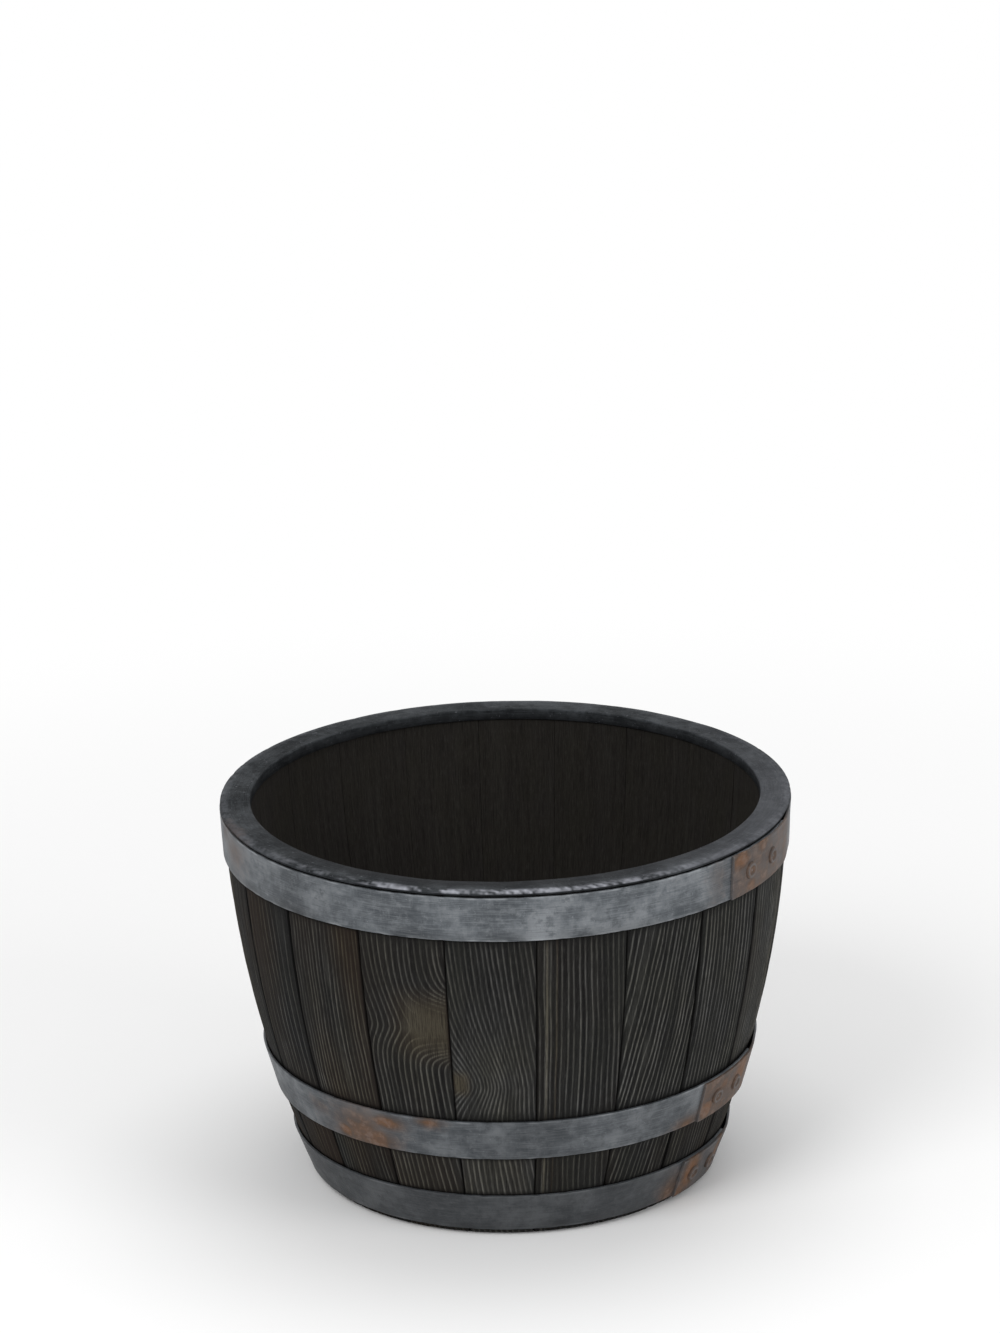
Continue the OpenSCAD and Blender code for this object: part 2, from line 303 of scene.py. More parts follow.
def brushed_stained_oak():
    """Oak stained near black and wire-brushed: its hard late wood stands up, worn to a dull grey-brown.

    Paint red is how much late wood shows, raised in places as painted light, green how open to wear and how
    lit the spot is, with painted shade in it, and blue how warm the stain is. Where green is least, in the
    joints and beside the hoops, the wood is nearly black, partly as painted shade.
    """
    material, tree, shader = new_material("Brushed stained oak")
    surface = add(tree, "UVMap", uv_map="Surface")
    paint = add(tree, "SeparateColor", {0: add(tree, "Attribute", attribute_name="paint")})
    late, open_and_lit, warm = paint.outputs[0], paint.outputs[1], paint.outputs[2]
    # The pores of oak are about 0.3 mm wide, too fine to show, so fibre and hair are drawn coarser
    fibre = blotches(tree, surface, 0.9, 26, 4.0, 0.65)
    hair = blotches(tree, surface, 0.5, 8, 3.0, 0.7)
    streak = blotches(tree, surface, 5, 190)
    patch = blotches(tree, surface, 42, 70)
    early = washed(
        tree, "#121213",
        (streak, (0.38, 0.0), (0.66, 1.0), "#1f1f1e"), (patch, (0.45, 0.0), (0.7, 0.5), "#1c1d1a"),
        (hair, (0.54, 0.0), (0.72, 0.6), "#3a3a39"), (warm, (0.0, 0.0), (1.0, 0.7), "#261d17"))
    worn = washed(
        tree, "#696967",
        (patch, (0.35, 0.0), (0.62, 1.0), "#62615b"), (warm, (0.0, 0.0), (1.0, 0.6), "#5f573c"))
    rubbed_and_lit = late
    for pattern, start, end in ((fibre, (0.3, 0.4), (0.6, 1.0)), (hair, (0.3, 0.45), (0.56, 1.0))):
        bare = add(tree, "ValToRGB", {"Fac": pattern}, stops=(start, end))
        rubbed_and_lit = add(tree, "Math", {0: rubbed_and_lit, 1: bare}, operation="MULTIPLY")
    rubbed_and_lit = add(tree, "Math", {0: rubbed_and_lit, 1: open_and_lit}, operation="MULTIPLY", use_clamp=True)
    # The near-black wash where green is low is partly painted shade, in the joints and under the hoops
    colour = washed(
        tree, early, (rubbed_and_lit, (0.0, 0.0), (1.0, 1.0), worn), (fibre, (0.3, 0.5), (0.5, 0.0), "#0c0c0b"),
        (open_and_lit, (0.1, 0.85), (0.3, 0.0), "#030303"))
    roughness = add(tree, "ValToRGB", {"Fac": rubbed_and_lit}, stops=((0.0, 0.86), (1.0, 0.66)))
    height = add(tree, "Math", {0: hair, 1: 0.6, 2: fibre}, operation="MULTIPLY_ADD")
    finished(tree, shader, colour, roughness, height, 0.6)
    shader.inputs["Specular IOR Level"].default_value = 0.08
    return material


def weathered_steel(name, dark, mid, light, fleck_and_sheen, metallic, shine):
    """Dull zinc-grey strip steel: brushed along its length, clouded by weather, worn pale and rusting.

    Paint red is rust, green is worn edges and painted highlights, which show the colour of the flecks, and
    blue is dirt and painted shade.
    """
    material, tree, shader = new_material(name)
    surface = add(tree, "UVMap", uv_map="Surface")
    place = add(tree, "TexCoord").outputs["Object"]
    paint = add(tree, "SeparateColor", {0: add(tree, "Attribute", attribute_name="paint")})
    rust, rubbed_and_lit, grime_and_shade = paint.outputs[0], paint.outputs[1], paint.outputs[2]
    cloud = blotches(tree, place, 52, 52, 5.0, 0.6)
    mottle = blotches(tree, place, 9, 9, 4.0, 0.65)
    smear = blotches(tree, surface, 46, 8, 4.0, 0.65)
    speck = blotches(tree, place, 2.2, 2.2, 3.0, 0.7)
    # The strokes and scratches of a brush are under 0.2 mm wide, too fine to show, and are drawn coarser
    stroke = blotches(tree, surface, 1.1, 15, 3.0, 0.7)
    scratch = blotches(tree, surface, 30, 0.8, 3.0, 0.7)
    colour = add(tree, "ValToRGB", {"Fac": cloud}, stops=((0.37, dark), (0.5, mid), (0.65, light)))
    # The green paint lays the colour of the flecks as wear and as painted highlight; the last wash lays dirt
    # and painted shade
    colour = washed(
        tree, colour,
        (smear, (0.48, 0.0), (0.75, 0.55), light), (mottle, (0.52, 0.0), (0.72, 0.6), light),
        (mottle, (0.3, 0.8), (0.49, 0.0), dark), (stroke, (0.56, 0.0), (0.75, 0.28), light),
        (stroke, (0.25, 0.3), (0.42, 0.0), dark), (scratch, (0.5, 0.0), (0.7, 0.6), light),
        (scratch, (0.28, 0.65), (0.47, 0.0), dark), (speck, (0.6, 0.0), (0.74, 0.4), dark),
        (speck, (0.24, 0.5), (0.36, 0.0), fleck_and_sheen), (rubbed_and_lit, (0.0, 0.0), (1.0, 1.0), fleck_and_sheen),
        (grime_and_shade, (0.0, 0.0), (1.0, 0.8), "#1e1f21"))

    # The rust's edge is broken up by the clouds and the mottle
    edge = rust
    for pattern, weight in ((cloud, 0.6), (mottle, 0.7)):
        swing = add(tree, "Math", {0: pattern, 1: 0.5}, operation="SUBTRACT")
        edge = add(tree, "Math", {0: swing, 1: weight, 2: edge}, operation="MULTIPLY_ADD")
    mask = add(tree, "ValToRGB", {"Fac": edge}, stops=((0.1, 0.0), (0.8, 0.93)))
    browns = ((0.35, "#433833"), (0.75, "#4c392b"), (1.0, "#644225"))
    tint = add(tree, "ValToRGB", {"Fac": edge}, stops=browns)
    tint = washed(
        tree, tint,
        (mottle, (0.5, 0.0), (0.68, 0.6), "#6c5e57"), (smear, (0.3, 0.6), (0.47, 0.0), "#33261f"))
    present = add(tree, "ValToRGB", {"Fac": rust}, stops=((0.02, 0.0), (0.12, 1.0)))
    mask = add(tree, "Math", {0: mask, 1: present}, operation="MULTIPLY", use_clamp=True)
    colour = washed(tree, colour, (mask, (0.0, 0.0), (1.0, 1.0), tint))
    bare = add(tree, "Math", {0: 1.0, 1: mask}, operation="SUBTRACT", use_clamp=True)
    metal = add(tree, "Math", {0: bare, 1: metallic}, operation="MULTIPLY")
    tree.links.new(metal.outputs[0], shader.inputs["Metallic"])
    roughness = add(tree, "ValToRGB", {"Fac": cloud}, stops=((0.3, 0.62), (0.7, 0.48)))
    roughness = add(tree, "Math", {0: mask, 1: 0.28, 2: roughness}, operation="MULTIPLY_ADD", use_clamp=True)
    height = speck
    for pattern, weight in ((scratch, 0.25), (cloud, 2.0), (mottle, 1.5)):
        height = add(tree, "Math", {0: pattern, 1: weight, 2: height}, operation="MULTIPLY_ADD")
    finished(tree, shader, colour, roughness, height, 0.45)
    shader.inputs["Specular IOR Level"].default_value = shine
    return material


def sawn_board(name, dark, light):
    """Sawn board, stained by damp: straight grain with pores, a little paler where it has dried."""
    material, tree, shader = new_material(name)
    place = add(tree, "TexCoord").outputs["Object"]
    grain = blotches(tree, place, 3.2, 90, 4.0, 0.6)
    # The pores are drawn coarser than the 0.3 mm that they measure, which is too fine to show
    pores = blotches(tree, place, 0.8, 14, 3.0, 0.7)
    stain = blotches(tree, place, 70, 70)
    colour = add(tree, "ValToRGB", {"Fac": grain}, stops=((0.35, dark), (0.65, light)))
    colour = washed(
        tree, colour, (stain, (0.42, 0.0), (0.68, 0.6), dark), (pores, (0.3, 0.6), (0.45, 0.0), "#1d1916"))
    roughness = add(tree, "ValToRGB", {"Fac": stain}, stops=((0.3, 0.8), (0.7, 0.9)))
    height = add(tree, "Math", {0: grain, 1: pores}, operation="ADD")
    finished(tree, shader, colour, roughness, height, 0.5)
    return material


OAK = brushed_stained_oak()
STEEL = weathered_steel("Weathered hoop steel", "#3b4045", "#53585d", "#7c8084", "#a3a7ab", 0.3, 0.5)
# On the rim, the fleck colour also paints the highlight on its lip
RIM_STEEL = weathered_steel("Dark rim steel", "#1b1d1f", "#2b2d2f", "#414447", "#a2a4ac", 0.0, 0.02)
HEAD_WOOD = sawn_board("Sawn head boards", "#2c241e", "#4b3e33")
DOWEL_WOOD = sawn_board("Beech dowel", "#6b5640", "#8f7858")

# Channels of the steel's paint: rust, wear with painted highlight, and dirt with painted shade
RUSTY, RUBBED_AND_SHEEN, GRIME_AND_SHADE = 0, 1, 2

# Staves

# Grid: columns and rows of the outer face, lower rows where a figure is drawn, columns over a rounded edge
# and where the even ones start, columns of a joint face and of the inner face, extra rows up from the foot
# and down from the rim, and the step at the edges of the croze
COLUMN_W = 0.6
ROW_H = 2.3
FIGURED_ROW_H = 1.1
EDGE_COLUMNS = np.array([0, 0.12, 0.35, 0.7, 1.15, 1.7])
EVEN_FROM = 2.3
SIDE_COLUMNS = 5
INNER_COLUMNS = 26
FOOT_ROWS = [0.4, 0.9, 1.5]
RIM_ROWS = [1, 0.4]
CROZE_STEP = 0.05

# Depths: the brushed early wood, the brush's tooth, the least cut and the plane's marks inside
RELIEF = 0.55
TOOTH = 0.07
LEAST_CUT = 0.1
PLANE_MARKS = 0.22
# Rounding of the long edges and of the foot, the depth and width of the wear on the long edges, and how near
# the ends the relief of the late wood fades, so that the end faces stay flat
ARRIS = 1.7
FOOT_ROUND = 1.6
EDGE_WEAR = 0.25
EDGE_WEAR_W = 3.0
END_FADE = 2.5

# Heights from and to which damp warms the stain, mud covers the wood and the top hoop's painted shade ends,
# and how far a hoop shelters the wood beside it and also darkens it as a painted shadow, which is less in
# the mud
DAMP = (130, 60)
SPLASHED = (100, 80)
SHADED = (300, 165)
FADE_BY_HOOP = 11.0
LESS_IN_MUD = 6

# How far the pattern moves on from one stave, hoop or pair of rivets to the next, so that no two are alike
STAVE_SHIFT_U, STAVE_SHIFT_V = 400, 37
HOOP_SHIFT = 3000
RIVET_SHIFT = 50

# Knots beside a stave: place from its left edge, height, rings moved, reach across, up and down, and how
# sharply the rings turn
FIGURES = {
    20: [(4, 159, 6.6, 44, 38, 24, 1.05)],
    6: [(34, 175, -5, 30, 60, 90, 1.7)],
    8: [(70, 120, 6, 44, 60, 50, 1.3)],
    11: [(42, 230, -4, 26, 50, 60, 1.7)],
    13: [(2, 190, 7, 48, 60, 45, 1.2)],
}
# Where the rings level off to the right edge: place from the left edge, height, rings moved, reach up, down
LEVELLED = {19: (36, 211, 2, 31, 18), 10: (40, 200, 1.5, 40, 26)}
# Plain patches, where the grain lies flat: place from the left edge, height, half width and half height
PLAIN = {19: [(68, 214, 28, 27)], 20: [(5, 160, 6, 9)], 8: [(62, 118, 9, 14)], 10: [(66, 200, 18, 16)]}
# Spacing of the rings, slant across the stave per unit of height, warmth of the stain, strength of the lines
GRAIN = {
    1: (4.9, 0.0, 0.1, 0.75), 2: (5.1, 0.18, 0.0, 1.2), 3: (5.5, 0.04, 0.0, 1.25), 4: (5.2, 0.0, 0.22, 1.1),
    5: (5.4, 0.02, 0.05, 1.0), 15: (6.2, 0.02, 0.3, 0.7), 16: (6.6, 0.02, 0.35, 0.62),
    17: (7.4, 0.02, 0.42, 0.74), 18: (4.2, 0.03, 0.6, 0.82), 19: (5.4, -0.01, 0.12, 0.95),
    20: (4.7, -0.07, 0.05, 0.95),
}
# The other staves take their spacing, slant and warmth between these
OTHER_SPACING, OTHER_SLANT, OTHER_WARMTH = (4.0, 5.8), (-0.06, 0.06), (0, 0.35)
# One stave has two warm streaks up its whole height, the first with a pale core: place on a face as wide as
# this, half width and amount
STREAKED = 1
STREAKED_W = 78
STREAKS = [(8.4, 1.4, 0.6), (17, 1.0, 0.75)]
PALE_CORE = (8.4, 1.1, 0.85)
# Paint of the hidden faces: a little late wood, half sheltered and brown
HIDDEN_PAINT = (0.25, 0.35, 0.35)


def rise_from(height, up, reach_up, reach_down):
    """Distance above or below a height, each counted in its own reach."""
    return np.where(up > height, (up - height) / reach_up, (height - up) / reach_down)


def patch_at(across, up, left, height, half_width, half_height):
    """A patch with a soft edge: e to the minus fourth powers of the distances in half widths and heights."""
    return np.exp(-((across - left) / half_width) ** 4 - ((up - height) / half_height) ** 4)


def stave_grain(index, across, up):
    """How much late wood shows, from 0 to 1, on a stave's outer face.

    The rings are the level lines of (across - slant * up) / spacing, moved by soft waves and by knots,
    each a bell of ring shift round one point. Where they level off, the shift grows as fast as the rings do.
    In a plain patch they draw near to one level, and the lines fade. A line of late wood stands half way
    between two whole rings, steeper on one side, and widens where the rings are far apart. Its tone comes
    from the fraction of a large multiple of the sine of its number, so that no two lines are alike.
    """
    rng = np.random.default_rng(40 + index)
    other = (rng.uniform(*OTHER_SPACING), rng.uniform(*OTHER_SLANT), 0, 1)
    spacing, slant, _, strength = GRAIN.get(index, other)
    sway = waves(60 + index, (60, 260))
    quiver = waves(90 + index, (14, 45))
    rings = (across - slant * (up - STAVE_H / 2)) / spacing
    rings = rings + 0.38 * sway(across, up) + 0.09 * quiver(across, up)
    for left, height, shift, reach, reach_up, reach_down, turn in FIGURES.get(index, []):
        rise = np.hypot(rise_from(height, up, reach_up, reach_down), 0.3) - 0.3
        rings = rings - shift * bump_at(across, left, reach) * np.exp(-rise ** turn)
    if index in LEVELLED:
        left, height, shift, reach_up, reach_down = LEVELLED[index]
        beyond = 4 * np.logaddexp(0, (across - left) / 4) / spacing
        rings = rings - (shift + beyond) * np.exp(-rise_from(height, up, reach_up, reach_down) ** 1.7)
    rings = rings + 0.1 * waves(270 + index, (2.2,), 9)(rings)
    plain = np.zeros(across.shape)
    for left, height, half_width, half_height in PLAIN.get(index, []):
        row = np.abs(up[:, 0] - height).argmin()
        level = np.floor(rings[row, np.abs(across[row] - left).argmin()] + 0.5)
        flat = patch_at(across, up, left, height, half_width, half_height)
        rings = rings + 0.55 * flat * (level - rings)
        plain = np.maximum(plain, flat)
    slope_up = np.gradient(rings, axis=0) / np.gradient(up, axis=0)
    slope_across = np.gradient(rings, axis=1) / np.maximum(np.gradient(across, axis=1), 0.05)
    steep = np.clip(np.hypot(slope_up, slope_across), 0.03, 0.8)
    number = np.floor(rings)
    tone = np.modf(np.abs(np.sin(number * 12.9898 + index * 4.1) * 437.585))[0]
    past_line = rings - number - 0.5
    line = np.exp(-(past_line / (np.where(past_line < 0, 0.45, 0.85) * steep)) ** 2)
    fade = 0.8 + 0.22 * waves(120 + index, (11, 80))(across, up)
    line = np.clip(1.06 * line * strength * (0.68 + 0.32 * tone) * np.clip(fade, 0.3, 1.1), 0, 1)
    line = np.maximum(line, 0.5 * smoothstep(0.95, 0.3, steep * spacing))
    return line + plain * (0.33 - line) * 0.8


def stave_paint(index, middle, late, across, up, wide, from_edge):
    """How much late wood shows, how open to wear and how lit, and warmth of a stave's outer face, on the
    last axis.

    Each is made of eased steps up the height and of bells round the barrel, where middle is the stave's own
    direction. The front is painted darker under the top hoop as its shade, one stave of it is painted paler
    below and the right side is painted pale, both as painted light. A joint and the wood beside a hoop are
    the least open, which also paints the hoop's shadow, and joints away from the front are painted darker
    and wider as shade in them.
    """
    splashed = smoothstep(*SPLASHED, up)
    below = smoothstep(*SHADED, up)
    facing = bump_at(middle, -6, 14)
    low_band = splashed * (facing * (0.16 + 0.34 * late) - (1 - facing) * 0.4 * late)
    # Painted light: one front stave is paler below the top hoop's painted shade, and the right side is paler
    # where it is lit
    pale = (0.08 * bump_at(middle, -4, 10) * below + 0.15 * bump_at(middle, 72, 14)) * (1 - splashed)
    shows = np.clip(late + low_band + pale * (1 - late), 0, 1)

    # Beside each hoop the wood is sheltered from wear and also painted darker as the hoop's cast shadow
    from_hoop = np.min([np.where((up >= low) & (up <= high), 0, np.minimum(abs(up - low), abs(up - high)))
                      for low, high in map(levels, HOOP_SEEDS)], axis=0)
    hoop_shelter_and_shadow = smoothstep(0, FADE_BY_HOOP - LESS_IN_MUD * splashed, from_hoop)
    # Painted shade in the joints: away from the front they are painted darker and wider, and the least value
    # is lower there
    joint_shade_spread = 1 + 1.3 * smoothstep(28, 62, abs(middle))
    joint_open_and_lit = smoothstep(0.4 * joint_shade_spread, 2.4 * joint_shade_spread, from_edge)
    # Painted shade: the front is darker under the top hoop, down to the heights in SHADED
    front = smoothstep(60, 42, abs(middle + 12))
    least = 0.2 - 0.1 * smoothstep(25, 50, abs(middle))
    openness_and_light = hoop_shelter_and_shadow * joint_open_and_lit * (0.9 - 0.34 * front * (1 - below)) + least

    warmth = GRAIN.get(index, (0, 0, np.random.default_rng(7 * index).uniform(*OTHER_WARMTH)))[2]
    soft = waves(240 + index, (34, 90), 16)(across, up)
    damp = smoothstep(*DAMP, up)
    warm = np.clip(warmth * (0.8 + 0.5 * soft) + 0.25 * damp * (0.5 + 0.5 * soft), 0, 1)
    if index == STREAKED:
        place = across / wide * STREAKED_W
        warm = np.maximum(warm, sum(amount * bump_at(place, at, half) for at, half, amount in STREAKS))
        at, half, amount = PALE_CORE
        shows = np.maximum(shows, amount * bump_at(place, at, half))
    for left, height, half_width, half_height in PLAIN.get(index, []):
        olive = patch_at(across, up, left, height, half_width * 1.6, half_height * 1.3)
        shows = shows + 0.1 * olive * (1 - shows)
        warm = np.maximum(warm, olive)
    return np.stack([shows, openness_and_light, warm], axis=-1)


def stave(index):
    """One stave: a loop round its section, carried up the bow.

    The loop runs across the outer face, in along one joint, back over the inner face and out along the
    other. The outer face lies inside the bow's arc by the sum of the brushed-out early wood, the brush's
    tooth, the rounding and wear of the long edges and the rounding of the foot. The inner face lies one
    thickness inside the arc, with the bevel of the foot, the croze and the plane's marks.
    """
    joint, pitch = JOINTS[index - 1], WIDTHS[index - 1]
    z = np.linspace(0, STAVE_H, round(STAVE_H / (FIGURED_ROW_H if index in PLAIN else ROW_H)) + 1)
    half_croze = CROZE_W / 2
    croze = CROZE_Z + np.array([-half_croze - CROZE_STEP, -half_croze, half_croze, half_croze + CROZE_STEP])
    z = np.unique(np.concatenate([z, croze, FOOT_ROWS, [FOOT_BEVEL], STAVE_H - np.array(RIM_ROWS)]))
    radius = face_r(z)[:, None]
    half_gap = np.degrees(np.arcsin(STAVE_GAP / 2 / radius))
    wide = np.radians(pitch - 2 * half_gap) * radius
    widest = float(wide.max())
    edge = EDGE_COLUMNS / widest
    even = np.linspace(EVEN_FROM / widest, 1 - EVEN_FROM / widest, round(widest / COLUMN_W))
    across = np.concatenate([edge, even, 1 - edge[::-1]])[None, :] * wide
    up = np.broadcast_to(z[:, None], across.shape)

    late = stave_grain(index, across, up)
    rough = waves(150 + index, (3, 40), 20)(across, up)
    from_edge = np.minimum(across, wide - across)
    rounding = ARRIS - np.sqrt(np.maximum(ARRIS ** 2 - np.maximum(ARRIS - from_edge, 0) ** 2, 0))
    wear = EDGE_WEAR * (1 + waves(180 + index, (400, 22))(across, up)) * bump_at(from_edge, 0, EDGE_WEAR_W)
    foot = FOOT_ROUND * np.maximum(1 - up / FOOT_ROUND, 0) ** 2
    relief = RELIEF * (1 - late * smoothstep(0, END_FADE, np.minimum(up, STAVE_H - up)))
    depth = relief + TOOTH * rough + LEAST_CUT + rounding + np.abs(wear) + foot
    depth = np.clip(depth, 0.02, None)
    outer = polar(joint + half_gap + np.degrees(across / radius), radius - depth / np.cos(lean(up)), up)

    bevel_r = (BASE_R - FOOT_W) + (face_r(FOOT_BEVEL, STAVE_T) - BASE_R + FOOT_W) * z / FOOT_BEVEL
    inner_r = np.where(z < FOOT_BEVEL, bevel_r, face_r(z, STAVE_T))
    inner_r = inner_r + np.where(np.abs(z - CROZE_Z) <= half_croze + 0.001, CROZE_D, 0)
    side = np.linspace(0, 1, SIDE_COLUMNS + 2)[1:-1]
    start = radius - (depth[:, :1] / np.cos(lean(z))[:, None])
    right = polar(joint + pitch - half_gap, start + (inner_r[:, None] - start) * side, z[:, None])
    left = polar(joint + half_gap, start + (inner_r[:, None] - start) * side[::-1], z[:, None])
    back = np.linspace(1, 0, INNER_COLUMNS)[None, :]
    plane = PLANE_MARKS * waves(210 + index, (9, 120), 16)(back * wide, up[:, :1])
    inner = polar(joint + half_gap + (pitch - 2 * half_gap) * back,
                  inner_r[:, None] + np.abs(plane), z[:, None])

    loop = np.concatenate([outer, right, inner, left], axis=1)
    rows, columns = loop.shape[:2]
    points = np.concatenate([loop.reshape(-1, 3), [loop[0].mean(axis=0), loop[-1].mean(axis=0)]])
    quads, triangles = tube_faces(rows, columns)

    # UV: distance round the loop by height
    run = np.concatenate([
        across.max(axis=0), widest + STAVE_T * side, widest + STAVE_T + widest * (1 - back[0]),
        2 * widest + STAVE_T * (1 + side), [2 * (widest + STAVE_T)]])
    u = np.broadcast_to(run[None, :] + STAVE_SHIFT_U * index, (rows, columns + 1))
    v = np.broadcast_to(z[:, None] + STAVE_SHIFT_V * index, u.shape)
    end_uv = points[triangles.ravel()][:, :2] + STAVE_SHIFT_U * index
    uv = np.concatenate([sheet_uv(u, v), end_uv])

    paint = np.zeros((len(points), 3))
    grid = paint[:-2].reshape(rows, columns, 3)
    shown = across.shape[1]
    grid[:, :shown] = stave_paint(index, from_front(joint + pitch / 2), late, across, up, wide, from_edge)
    grid[:, shown:] = HIDDEN_PAINT
    make_piece("Stave_%02d" % index, points, quads, triangles, uv, paint, OAK,
               "stave_wood", "stave_%02d" % index)


# Hoops

# Grid: steps round a hoop, points up its face, how many of them go to one of the back, and the corners'
# rounding
HOOP_STEPS = 900
FACE_POINTS = 24
BACK_STEP = 4
STRIP_CORNER = 0.55
# Air between the layers of the lap, the angle that the joggle takes at a radius, about how high the middle
# of a strip lies, and how much wider a hoop gets
LAYER_GAP = 0.02
JOGGLE_ANGLE, JOGGLE_R = 8.5, 250
HALF_UP = 18
WIDENS = 8
# Depth of the hammer marks, the small dents and the nicks of the edges, and the width of the edges
HAMMER_MARKS = 0.16
SMALL_DENTS = 0.05
EDGE_NICKS = 0.18
NICKED_W = 1.2

# Rust: direction, place up the strip from 0 to 1, reach round the hoop and up the strip, and amount
RUST = {
    "top_hoop": [(-70, 0.6, 7, 0.5, 0.55), (-76, 0.9, 6, 0.4, 0.5), (46, 0.6, 3.5, 0.7, 0.45)],
    "middle_hoop": [(-38, 0.3, 11, 0.9, 0.8), (-50, 0.6, 5, 0.3, 0.55), (-42.5, 0.2, 3.5, 0.3, 1.0),
                    (-33, 0.15, 7, 0.5, 0.9), (-29.5, 0.72, 5.5, 0.25, 1.0), (-19, 0.9, 4, 0.18, 0.95),
                    (46, 0.05, 6, 0.3, 0.85)],
    "bottom_hoop": [(47, 0.25, 5, 0.6, 0.8)],
}
# Rust over the lap of each hoop: amount, and the places on it that are brightest, as in the list above
LAP_RUST = {
    "top_hoop": (0.68, [(52, 0.85, 5, 0.4, 1.05), (60, 0.95, 5, 0.4, 0.9), (56, 0.15, 4, 0.3, 0.85),
                        (66, 0.3, 3, 0.4, 0.8)]),
    "middle_hoop": (0.72, [(67, 0.65, 6, 0.7, 1.1), (58, 0.7, 4, 0.4, 0.9), (52, 0.25, 4, 0.4, 1.05),
                           (59, 0.1, 5, 0.3, 0.8)]),
    "bottom_hoop": (0.38, [(54, 0.6, 5, 0.7, 1.15), (51, 0.1, 5, 0.4, 0.9), (69, 0.6, 4, 0.9, 0.95)]),
}
# Spots of rust at random on the back: their number, and the directions between which they lie
BACK_SPOTS = 5
BACK = (100, 270)
# How far each hoop is darkened, partly by splashed mud and partly as painted shade, most on the lowest
MUD_AND_SHADE = {"top_hoop": 0.05, "middle_hoop": 0.44, "bottom_hoop": 1.0}
# Where else each hoop is dull: direction, reach and amount
DULL = {"top_hoop": (-47, 16, 0.28), "middle_hoop": (4, 11, 0.2), "bottom_hoop": (0, 60, 0.07)}


def strip_section():
    """Section of the strip, as a loop of points (distance up its face, distance out of it).

    The loop runs up the outer face, in over the upper edge, down the back and out again under the lower
    edge. Each corner is a quarter turn.
    """
    arc = np.radians(np.linspace(0, 90, 5))
    quarter = np.stack([1 - np.sin(arc), 1 - np.cos(arc)], axis=1) * STRIP_CORNER
    turned = quarter[::-1]
    outer_up = STRIP_CORNER + (HOOP_W - 2 * STRIP_CORNER) * np.linspace(0, 1, FACE_POINTS)
    back_up = outer_up[::-1][::BACK_STEP][1:-1]
    return np.concatenate([
        np.stack([outer_up, np.full(FACE_POINTS, HOOP_T)], axis=1),
        np.stack([HOOP_W - quarter[:, 0], HOOP_T - quarter[:, 1]], axis=1)[1:],
        [[HOOP_W, HOOP_T / 2]],
        np.stack([HOOP_W - turned[:, 0], turned[:, 1]], axis=1),
        np.stack([back_up, np.zeros(len(back_up))], axis=1),
        quarter,
        [[0, HOOP_T / 2]],
        np.stack([turned[:, 0], HOOP_T - turned[:, 1]], axis=1)[:-1],
    ])


def hoop_rust(name, seed, direction, share, outer_lap):
    """Rust of a hoop: at each point the most of all spots, each a bell round the hoop and up the strip."""
    amount, lap_spots = LAP_RUST[name]
    rust = amount * outer_lap
    for place, spots, part in ((from_front(direction), RUST[name], 1), (direction, lap_spots, outer_lap)):
        for centre, level, reach, reach_up, amount in spots:
            spot = amount * bump_at(place, centre, reach) * bump_at(share, level, reach_up)
            rust = np.maximum(rust, spot * part)
    rng = np.random.default_rng(seed + 3)
    for centre in rng.uniform(*BACK, BACK_SPOTS):
        rust = np.maximum(rust, rng.uniform(0.4, 0.8) * bump_at(direction, centre, rng.uniform(4, 9))
                          * bump_at(share, rng.uniform(0.2, 0.8), 0.5))
    return rust


